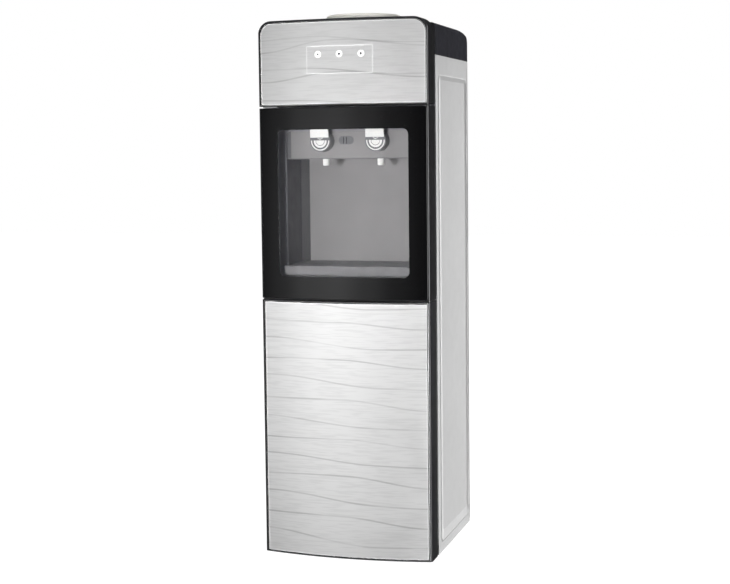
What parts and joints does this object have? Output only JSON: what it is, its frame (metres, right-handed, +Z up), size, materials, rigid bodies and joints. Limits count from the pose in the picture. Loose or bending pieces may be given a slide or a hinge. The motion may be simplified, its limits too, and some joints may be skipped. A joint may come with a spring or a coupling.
{
  "type": "water dispenser",
  "caption": "Tall floor-standing hot and cold water dispenser with a top bottle seat, a bowed front, a windowed upper door over the taps and a storage cabinet below.",
  "frame": {"origin": "on the floor, under the middle of the whole width and depth", "axes": "+X to the viewer's right, +Y from the doors to the back, +Z up"},
  "size_m": [0.31, 0.3399, 0.973],
  "materials": {
    "side_paint": "satin",
    "zinc_steel": "satin",
    "bright_steel": "satin",
    "black_paint": "satin",
    "copper": "satin",
    "cover_black": "satin",
    "frame_black": "gloss",
    "frame_grey": "satin",
    "panel_silver": "gloss",
    "door_glass": "gloss",
    "bay_grey": "satin",
    "fascia_grey": "satin",
    "tap_grey": "satin",
    "tray_grey": "satin",
    "white_plastic": "satin",
    "ivory_plastic": "satin",
    "liner_plastic": "matte",
    "foam": "matte",
    "board_green": "satin",
    "silicone": "satin",
    "black_rubber": "matte",
    "black_plastic": "satin",
    "rocker_red": "gloss",
    "rocker_green": "gloss"
  },
  "bodies": {
    "cabinet": {"base_pan": "zinc_steel", "feet": "black_rubber", "side_panel_left": "side_paint", "side_panel_right": "side_paint", "rear_panel": "zinc_steel", "top_cover": "cover_black", "bottle_seat": "ivory_plastic", "water_guard": "white_plastic", "head_frame": "frame_black", "head_panel": "panel_silver", "indicator_lenses": "white_plastic", "led_board": "board_green", "fascia": "fascia_grey", "bay_liner": "bay_grey", "tap_hood": "bay_grey", "hood_badge": "tap_grey", "tap_body_left": "tap_grey", "tap_body_right": "tap_grey", "tap_marks": "white_plastic", "spouts": "white_plastic", "spring_left": "bright_steel", "spring_right": "bright_steel", "top_hinge": "bright_steel", "middle_rail": "bright_steel", "bottom_hinge": "bright_steel", "cabinet_liner": "liner_plastic", "cabinet_shelf": "white_plastic", "cold_tank": "bright_steel", "cold_tank_foam": "foam", "evaporator_coil": "copper", "hot_tank": "bright_steel", "heater_band": "bright_steel", "thermostats": "black_plastic", "silicone_tubes": "silicone", "drain_pipe": "bright_steel", "compressor": "black_paint", "compressor_mounts": "black_rubber", "condenser": "black_paint", "condenser_brackets": "black_plastic", "refrigerant_pipes": "copper", "control_box": "white_plastic", "equipment_deck": "zinc_steel", "switch_housing": "black_plastic", "cable_gland": "black_plastic", "panel_screws": "bright_steel"},
    "upper_door": {"upper_door_frame": "frame_black", "upper_door_glass": "door_glass", "upper_door_gasket": "black_rubber"},
    "lower_door": {"lower_door_frame": "frame_grey", "lower_door_panel": "panel_silver", "lower_door_gasket": "black_rubber"},
    "lever_left": {"lever_left": "white_plastic"},
    "lever_right": {"lever_right": "white_plastic"},
    "stem_left": {"stem_left": "white_plastic"},
    "stem_right": {"stem_right": "white_plastic"},
    "drip_tray": {"drip_tray": "tray_grey"},
    "drip_grille": {"drip_grille": "tray_grey"},
    "heat_rocker": {"heat_rocker": "rocker_red"},
    "cool_rocker": {"cool_rocker": "rocker_green"},
    "drain_cap": {"drain_cap": "white_plastic"}
  },
  "joints": [
    {"name": "upper_door_hinge", "type": "hinge", "parent": "cabinet", "child": "upper_door", "pos_m": [-0.147, -0.123, 0.637], "axis": [0, 0, -1], "range_deg": [0, 110]},
    {"name": "lower_door_hinge", "type": "hinge", "parent": "cabinet", "child": "lower_door", "pos_m": [-0.147, -0.123, 0.237], "axis": [0, 0, -1], "range_deg": [0, 110]},
    {"name": "lever_left_hinge", "type": "hinge", "parent": "cabinet", "child": "lever_left", "pos_m": [-0.051, -0.108, 0.764], "axis": [1, 0, 0], "range_deg": [0, 9], "stiffness_Nm_per_rad": 0.6, "springref_deg": -5.73},
    {"name": "lever_right_hinge", "type": "hinge", "parent": "cabinet", "child": "lever_right", "pos_m": [0.051, -0.108, 0.764], "axis": [1, 0, 0], "range_deg": [0, 9], "stiffness_Nm_per_rad": 0.6, "springref_deg": -5.73},
    {"name": "stem_left_slide", "type": "slide", "parent": "cabinet", "child": "stem_left", "axis": [0, 0, -1], "range_m": [0, 0.0016], "deforming": ["spring_left"]},
    {"name": "stem_right_slide", "type": "slide", "parent": "cabinet", "child": "stem_right", "axis": [0, 0, -1], "range_m": [0, 0.0016], "deforming": ["spring_right"]},
    {"name": "drip_tray_lift", "type": "slide", "parent": "cabinet", "child": "drip_tray", "axis": [0, 0, 1], "range_m": [0, 0.06]},
    {"name": "drip_grille_lift", "type": "slide", "parent": "drip_tray", "child": "drip_grille", "axis": [0, 0, 1], "range_m": [0, 0.04]},
    {"name": "heat_rocker_hinge", "type": "hinge", "parent": "cabinet", "child": "heat_rocker", "pos_m": [0.073, 0.147, 0.792], "axis": [-1, 0, 0], "range_deg": [0, 20]},
    {"name": "cool_rocker_hinge", "type": "hinge", "parent": "cabinet", "child": "cool_rocker", "pos_m": [0.097, 0.147, 0.792], "axis": [-1, 0, 0], "range_deg": [0, 20]},
    {"name": "drain_cap_pull", "type": "slide", "parent": "cabinet", "child": "drain_cap", "axis": [0, 1, 0], "range_m": [0, 0.03]}
  ],
  "couplings": [
    {"joint": "stem_left_slide", "follows": "lever_left_hinge", "m_per_rad": 0.01},
    {"joint": "stem_right_slide", "follows": "lever_right_hinge", "m_per_rad": 0.01}
  ]
}
